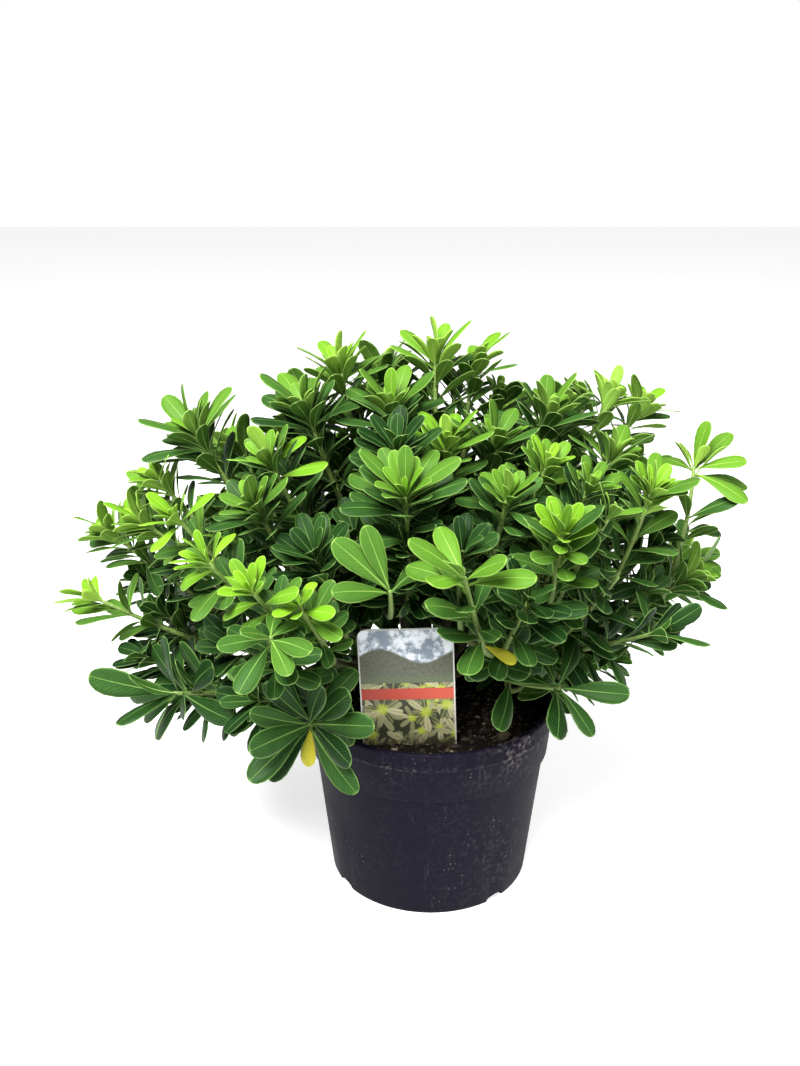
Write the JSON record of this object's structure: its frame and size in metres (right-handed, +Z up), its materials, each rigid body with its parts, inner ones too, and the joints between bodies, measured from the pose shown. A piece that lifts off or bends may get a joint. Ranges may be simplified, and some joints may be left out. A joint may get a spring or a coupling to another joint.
{
  "type": "potted dwarf pittosporum",
  "caption": "Compact evergreen shrub with rosettes of glossy blunt leaves on upright stems, rooted in compost in a black nursery pot, with a picture tag",
  "frame": {"origin": "middle of the pot's underside, on the surface the pot stands on", "axes": "+Z up, the side with the picture tag faces -Y, +X to the right seen from the front"},
  "size_m": [0.5108, 0.461, 0.4374],
  "materials": {
    "pot_plastic": "matte",
    "compost": "matte",
    "tag_print": "satin",
    "bark": "matte",
    "fresh_leaf": "satin",
    "mid_leaf": "satin",
    "dark_leaf": "satin"
  },
  "bodies": {
    "root": {"pot": "pot_plastic", "soil": "compost", "plant_tag": "tag_print", "branches": "bark", "leafy_shoot_01": "fresh_leaf", "leafy_shoot_02": "fresh_leaf", "leafy_shoot_03": "fresh_leaf", "leafy_shoot_04": "mid_leaf", "leafy_shoot_05": "mid_leaf", "leafy_shoot_06": "mid_leaf", "leafy_shoot_07": "mid_leaf", "leafy_shoot_08": "fresh_leaf", "leafy_shoot_09": "mid_leaf", "leafy_shoot_10": "mid_leaf", "leafy_shoot_11": "mid_leaf", "leafy_shoot_12": "fresh_leaf", "leafy_shoot_13": "fresh_leaf", "leafy_shoot_14": "mid_leaf", "leafy_shoot_15": "fresh_leaf", "leafy_shoot_16": "fresh_leaf", "leafy_shoot_17": "mid_leaf", "leafy_shoot_18": "fresh_leaf", "leafy_shoot_19": "fresh_leaf", "leafy_shoot_20": "fresh_leaf", "leafy_shoot_21": "fresh_leaf", "leafy_shoot_22": "fresh_leaf", "leafy_shoot_23": "fresh_leaf", "leafy_shoot_24": "fresh_leaf", "leafy_shoot_25": "fresh_leaf", "leafy_shoot_26": "fresh_leaf", "leafy_shoot_27": "mid_leaf", "leafy_shoot_28": "dark_leaf", "leafy_shoot_29": "dark_leaf", "leafy_shoot_30": "dark_leaf", "leafy_shoot_31": "dark_leaf", "leafy_shoot_32": "mid_leaf", "leafy_shoot_33": "mid_leaf", "leafy_shoot_34": "mid_leaf", "leafy_shoot_35": "fresh_leaf", "leafy_shoot_36": "mid_leaf", "leafy_shoot_37": "mid_leaf", "leafy_shoot_38": "mid_leaf", "leafy_shoot_39": "mid_leaf", "leafy_shoot_40": "mid_leaf", "leafy_shoot_41": "mid_leaf", "leafy_shoot_42": "mid_leaf", "leafy_shoot_43": "mid_leaf", "leafy_shoot_44": "mid_leaf", "leafy_shoot_45": "mid_leaf", "leafy_shoot_46": "dark_leaf", "leafy_shoot_47": "mid_leaf", "leafy_shoot_48": "mid_leaf", "leafy_shoot_49": "dark_leaf", "leafy_shoot_50": "dark_leaf", "leafy_shoot_51": "dark_leaf", "leafy_shoot_52": "dark_leaf", "leafy_shoot_53": "dark_leaf"}
  },
  "joints": []
}
